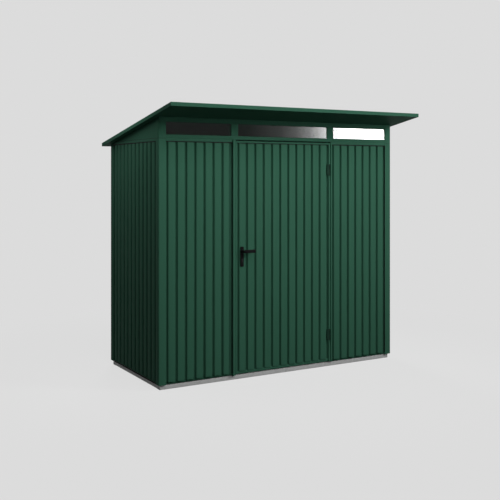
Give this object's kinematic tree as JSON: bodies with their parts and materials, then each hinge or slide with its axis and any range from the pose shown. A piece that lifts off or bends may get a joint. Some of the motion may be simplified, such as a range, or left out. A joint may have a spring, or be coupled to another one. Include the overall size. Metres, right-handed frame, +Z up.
{
  "type": "metal storage shed",
  "caption": "Sheet-steel garden shed with ribbed walls, a pent roof with overhang, a window row over a hinged ribbed door with a lever handle, on a low galvanised base.",
  "frame": {"origin": "on the ground under the middle of the roof", "axes": "+X right along the front, +Y from the front to the rear, +Z up"},
  "size_m": [2.48, 1.52, 2.2875],
  "materials": {
    "green_paint": "satin",
    "galvanised_steel": "galvanised",
    "window_glazing": "clear",
    "dark_hinge_paint": "satin",
    "black_handle": "satin",
    "bare_steel": "zinc plated"
  },
  "bodies": {
    "shed": {"corner_post_front_left": "green_paint", "corner_post_front_right": "green_paint", "corner_post_rear_left": "green_paint", "corner_post_rear_right": "green_paint", "door_post_left": "green_paint", "door_post_right": "green_paint", "door_jambs": "green_paint", "door_head": "green_paint", "rear_joint_strip": "green_paint", "wall_sills": "green_paint", "wall_top_rails": "green_paint", "front_panel_left": "green_paint", "front_panel_right": "green_paint", "left_panel": "green_paint", "right_panel": "green_paint", "rear_panel_left": "green_paint", "rear_panel_right": "green_paint", "window_sill": "green_paint", "window_head": "green_paint", "window_corner_posts": "green_paint", "window_mullions": "green_paint", "gable_left": "green_paint", "gable_right": "green_paint", "roof_soffit": "green_paint", "roof_sheet_1": "green_paint", "roof_sheet_2": "green_paint", "roof_sheet_3": "green_paint", "fascia_front": "green_paint", "fascia_rear": "green_paint", "fascia_sides": "green_paint", "base_rail_front": "galvanised_steel", "base_rail_rear": "galvanised_steel", "base_cross_rails": "galvanised_steel", "floor_deck": "galvanised_steel", "window_pane_left": "window_glazing", "window_pane_centre": "window_glazing", "window_pane_right": "window_glazing", "hinge_pins": "dark_hinge_paint"},
    "door": {"door_panel": "green_paint", "door_stiles": "green_paint", "door_rails": "green_paint", "lock_case": "bare_steel", "handle_plates": "black_handle", "key_cylinder": "bare_steel", "hinge_leaves": "dark_hinge_paint"},
    "handle": {"lever_outside": "black_handle", "lever_inside": "black_handle", "lever_spindle": "bare_steel"}
  },
  "joints": [
    {"name": "door_swing", "type": "hinge", "parent": "shed", "child": "door", "pos_m": [0.497, -0.427, 1.032], "axis": [0, 0, 1], "range_deg": [0, 110]},
    {"name": "lever_turn", "type": "hinge", "parent": "door", "child": "handle", "pos_m": [-0.425, -0.402, 1.084], "axis": [0, 1, 0], "range_deg": [0, 45], "stiffness_Nm_per_rad": 0.9, "springref_deg": -40.11}
  ]
}
